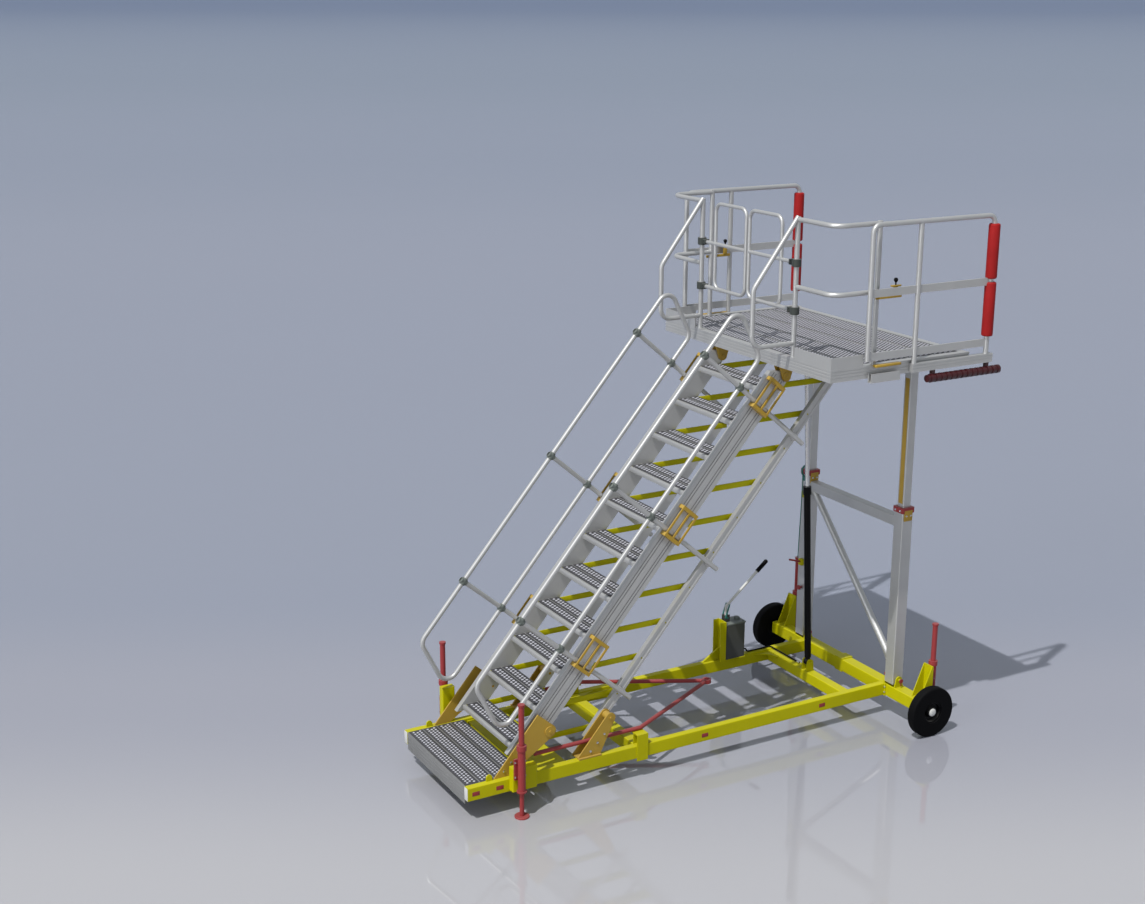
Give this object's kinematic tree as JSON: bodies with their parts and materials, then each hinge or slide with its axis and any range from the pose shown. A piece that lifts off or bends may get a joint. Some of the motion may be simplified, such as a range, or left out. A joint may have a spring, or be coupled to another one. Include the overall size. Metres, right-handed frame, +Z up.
{
  "type": "variable-height access platform",
  "caption": "Mobile access platform with self-levelling stairs, railed deck with gates and sliding guards on a telescopic mast, hand-pumped cylinder, jacks, wheels and tow bar.",
  "frame": {"origin": "middle of the overall box, on the floor", "axes": "+X from the stair foot to the deck end, +Y to the far side with the pump, +Z up"},
  "size_m": [4.44, 2.434, 4.386],
  "materials": {
    "yellow_paint": "gloss",
    "orange_paint": "gloss",
    "red_paint": "gloss",
    "aluminium": "satin",
    "grating": "matte",
    "tyre": "matte",
    "black_paint": "gloss",
    "steel": "polished",
    "foam": "matte",
    "rubber": "matte",
    "grey_paint": "satin"
  },
  "bodies": {
    "base": {"side_rails": "yellow_paint", "axle_beam": "yellow_paint", "cylinder_beam": "yellow_paint", "cross_members": "yellow_paint", "landing": "grating", "stringer_feet": "orange_paint", "link_feet": "orange_paint", "jack_brackets": "yellow_paint", "jack_tubes": "red_paint", "tow_bar": "red_paint", "pump_bracket": "yellow_paint", "pump_tank": "grey_paint", "pump_lever": "steel", "hose": "rubber"},
    "stairs": {"stringers": "aluminium", "post_guides": "orange_paint"},
    "links": {"link_bars": "aluminium", "handrails": "aluminium"},
    "platform": {"deck_frame": "aluminium", "deck_grating": "grating", "stair_lugs": "orange_paint", "head_lugs": "aluminium", "gate_posts": "aluminium", "corner_guards": "aluminium", "toe_boards": "aluminium"},
    "gate_near": {"gate_near": "aluminium"},
    "gate_far": {"gate_far": "aluminium"},
    "side_guard_near": {"side_guard_near": "aluminium", "foam_near": "foam", "bumper": "foam"},
    "side_guard_far": {"side_guard_far": "aluminium", "foam_far": "foam"},
    "mast_outer": {"mast_posts": "aluminium", "mast_brace": "aluminium", "mast_collars": "red_paint"},
    "mast_inner": {"mast_inner": "aluminium"},
    "barrel": {"cylinder_barrel": "black_paint"},
    "rod": {"cylinder_rod": "steel"},
    "wheel_near": {"tyre_near": "tyre", "hub_near": "steel"},
    "wheel_far": {"tyre_far": "tyre", "hub_far": "steel"},
    "tread_01": {"tread_01": "grating"},
    "tread_02": {"tread_02": "grating"},
    "tread_03": {"tread_03": "grating"},
    "tread_04": {"tread_04": "grating"},
    "tread_05": {"tread_05": "grating"},
    "tread_06": {"tread_06": "grating"},
    "tread_07": {"tread_07": "grating"},
    "tread_08": {"tread_08": "grating"},
    "tread_09": {"tread_09": "grating"},
    "tread_10": {"tread_10": "grating"},
    "tread_11": {"tread_11": "grating"},
    "leg_front_near": {"jack_leg_front_near": "red_paint"},
    "leg_front_far": {"jack_leg_front_far": "red_paint"},
    "leg_rear_near": {"jack_leg_rear_near": "red_paint"},
    "leg_rear_far": {"jack_leg_rear_far": "red_paint"}
  },
  "joints": [
    {"name": "stair_lift", "type": "hinge", "parent": "base", "child": "stairs", "pos_m": [-1.5, 0, 0.568], "axis": [0, 1, 0], "range_deg": [0, 18]},
    {"name": "link_swing", "type": "hinge", "parent": "base", "child": "links", "pos_m": [-0.97, 0, 0.568], "axis": [0, 1, 0], "range_deg": [0, 18]},
    {"name": "deck_level", "type": "hinge", "parent": "stairs", "child": "platform", "pos_m": [0.66382, 0, 3.09258], "axis": [0, -1, 0], "range_deg": [0, 18]},
    {"name": "tread_01_level", "type": "hinge", "parent": "stairs", "child": "tread_01", "pos_m": [-1.60007, 0, 0.45124], "axis": [0, -1, 0], "range_deg": [0, 18]},
    {"name": "tread_02_level", "type": "hinge", "parent": "stairs", "child": "tread_02", "pos_m": [-1.38089, 0, 0.70697], "axis": [0, -1, 0], "range_deg": [0, 18]},
    {"name": "tread_03_level", "type": "hinge", "parent": "stairs", "child": "tread_03", "pos_m": [-1.16171, 0, 0.96269], "axis": [0, -1, 0], "range_deg": [0, 18]},
    {"name": "tread_04_level", "type": "hinge", "parent": "stairs", "child": "tread_04", "pos_m": [-0.94253, 0, 1.21841], "axis": [0, -1, 0], "range_deg": [0, 18]},
    {"name": "tread_05_level", "type": "hinge", "parent": "stairs", "child": "tread_05", "pos_m": [-0.72335, 0, 1.47413], "axis": [0, -1, 0], "range_deg": [0, 18]},
    {"name": "tread_06_level", "type": "hinge", "parent": "stairs", "child": "tread_06", "pos_m": [-0.50417, 0, 1.72986], "axis": [0, -1, 0], "range_deg": [0, 18]},
    {"name": "tread_07_level", "type": "hinge", "parent": "stairs", "child": "tread_07", "pos_m": [-0.28499, 0, 1.98558], "axis": [0, -1, 0], "range_deg": [0, 18]},
    {"name": "tread_08_level", "type": "hinge", "parent": "stairs", "child": "tread_08", "pos_m": [-0.06581, 0, 2.2413], "axis": [0, -1, 0], "range_deg": [0, 18]},
    {"name": "tread_09_level", "type": "hinge", "parent": "stairs", "child": "tread_09", "pos_m": [0.15337, 0, 2.49702], "axis": [0, -1, 0], "range_deg": [0, 18]},
    {"name": "tread_10_level", "type": "hinge", "parent": "stairs", "child": "tread_10", "pos_m": [0.37255, 0, 2.75275], "axis": [0, -1, 0], "range_deg": [0, 18]},
    {"name": "tread_11_level", "type": "hinge", "parent": "stairs", "child": "tread_11", "pos_m": [0.59173, 0, 3.00847], "axis": [0, -1, 0], "range_deg": [0, 18]},
    {"name": "mast_tilt", "type": "hinge", "parent": "base", "child": "mast_outer", "pos_m": [1.81482, 0, 0.345], "axis": [0, 1, 0], "range_deg": [0, 18.38]},
    {"name": "mast_slide", "type": "slide", "parent": "mast_outer", "child": "mast_inner", "axis": [0, 0, -1], "range_m": [0, 0.6828]},
    {"name": "cylinder_tilt", "type": "hinge", "parent": "base", "child": "barrel", "pos_m": [1.37982, 0, 0.345], "axis": [0, 1, 0], "range_deg": [0, 17.56]},
    {"name": "rod_slide", "type": "slide", "parent": "barrel", "child": "rod", "axis": [0.0558, 0, -0.9984], "range_m": [0, 0.728]},
    {"name": "wheel_near_spin", "type": "hinge", "parent": "base", "child": "wheel_near", "pos_m": [1.81982, -1.105, 0.217], "axis": [0, 1, 0], "continuous": true},
    {"name": "wheel_far_spin", "type": "hinge", "parent": "base", "child": "wheel_far", "pos_m": [1.81982, 1.105, 0.217], "axis": [0, 1, 0], "continuous": true},
    {"name": "jack_front_near", "type": "slide", "parent": "base", "child": "leg_front_near", "axis": [0, 0, 1], "range_m": [0, 0.17]},
    {"name": "jack_front_far", "type": "slide", "parent": "base", "child": "leg_front_far", "axis": [0, 0, 1], "range_m": [0, 0.17]},
    {"name": "jack_rear_near", "type": "slide", "parent": "base", "child": "leg_rear_near", "axis": [0, 0, 1], "range_m": [0, 0.17]},
    {"name": "jack_rear_far", "type": "slide", "parent": "base", "child": "leg_rear_far", "axis": [0, 0, 1], "range_m": [0, 0.17]},
    {"name": "gate_near_swing", "type": "hinge", "parent": "platform", "child": "gate_near", "pos_m": [0.59182, -0.645, 3.8], "axis": [0, 0, -1], "range_deg": [0, 90]},
    {"name": "gate_far_swing", "type": "hinge", "parent": "platform", "child": "gate_far", "pos_m": [0.59182, 0.645, 3.8], "axis": [0, 0, 1], "range_deg": [0, 90]},
    {"name": "side_guard_near_slide", "type": "slide", "parent": "platform", "child": "side_guard_near", "axis": [1, 0, 0], "range_m": [-0.11, 0.29]},
    {"name": "side_guard_far_slide", "type": "slide", "parent": "platform", "child": "side_guard_far", "axis": [1, 0, 0], "range_m": [0, 0.4]}
  ],
  "couplings": [
    {"joint": "link_swing", "follows": "stair_lift", "ratio": 1},
    {"joint": "deck_level", "follows": "stair_lift", "ratio": 1},
    {"joint": "tread_01_level", "follows": "stair_lift", "ratio": 1},
    {"joint": "tread_02_level", "follows": "stair_lift", "ratio": 1},
    {"joint": "tread_03_level", "follows": "stair_lift", "ratio": 1},
    {"joint": "tread_04_level", "follows": "stair_lift", "ratio": 1},
    {"joint": "tread_05_level", "follows": "stair_lift", "ratio": 1},
    {"joint": "tread_06_level", "follows": "stair_lift", "ratio": 1},
    {"joint": "tread_07_level", "follows": "stair_lift", "ratio": 1},
    {"joint": "tread_08_level", "follows": "stair_lift", "ratio": 1},
    {"joint": "tread_09_level", "follows": "stair_lift", "ratio": 1},
    {"joint": "tread_10_level", "follows": "stair_lift", "ratio": 1},
    {"joint": "tread_11_level", "follows": "stair_lift", "ratio": 1},
    {"joint": "mast_tilt", "follows": "stair_lift", "ratio": 1.0206},
    {"joint": "mast_slide", "follows": "stair_lift", "m_per_rad": 2.1719},
    {"joint": "cylinder_tilt", "follows": "stair_lift", "ratio": 0.97508},
    {"joint": "rod_slide", "follows": "stair_lift", "m_per_rad": 2.3158}
  ]
}
